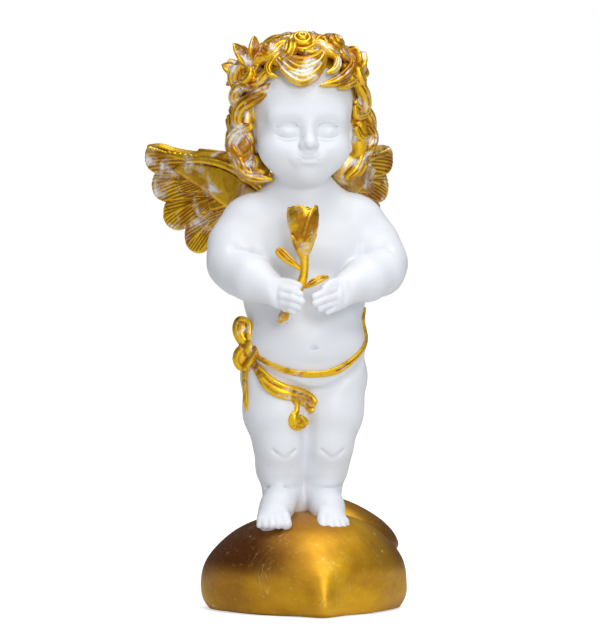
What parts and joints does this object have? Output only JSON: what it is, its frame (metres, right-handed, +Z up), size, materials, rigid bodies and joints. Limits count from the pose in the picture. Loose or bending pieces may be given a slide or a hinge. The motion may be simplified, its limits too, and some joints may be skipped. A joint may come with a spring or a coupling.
{
  "type": "resin angel figurine",
  "caption": "Standing child angel ornament holding a rose, with gold wings, curls and sash, on a heart-shaped base.",
  "frame": {"origin": "centre of the felt pad's underside, under the ankles", "axes": "+Z up through the figure, -Y the way the figure faces, +X the figure's left"},
  "size_m": [0.1114, 0.1243, 0.2489],
  "materials": {
    "white_resin": "satin white cast resin",
    "base_gold": "satin gold paint over cast resin, fine scratches",
    "hair_gold": "gold paint rubbed over white resin, white left in the hollows",
    "wreath_gold": "gold paint rubbed over white resin",
    "wing_gold": "gold paint rubbed over white resin, white patches on the feathers",
    "rose_gold": "gold paint over cast resin",
    "sash_gold": "gold paint over cast resin",
    "pin_steel": "plain drawn steel",
    "felt": "black wool felt"
  },
  "bodies": {
    "root": {"felt_pad": "felt", "heart_base": "base_gold", "rear_heart": "base_gold", "right_ankle_pin": "pin_steel", "left_ankle_pin": "pin_steel", "figure_body": "white_resin", "head": "white_resin", "right_arm": "white_resin", "left_arm": "white_resin", "crown_curls": "hair_gold", "forelock": "hair_gold", "right_side_curls": "hair_gold", "left_side_curls": "hair_gold", "nape_curls": "hair_gold", "right_sprig": "wreath_gold", "left_sprig": "wreath_gold", "right_rose": "wreath_gold", "middle_rose": "wreath_gold", "left_rose": "wreath_gold", "right_wing": "wing_gold", "left_wing": "wing_gold", "right_wing_peg": "pin_steel", "left_wing_peg": "pin_steel", "rose_bloom": "rose_gold", "rose_stem": "rose_gold", "rose_upper_leaf": "rose_gold", "rose_lower_leaf": "rose_gold", "sash_band": "sash_gold", "sash_bow": "sash_gold", "sash_front_tail": "sash_gold", "sash_side_tail": "sash_gold"}
  },
  "joints": []
}
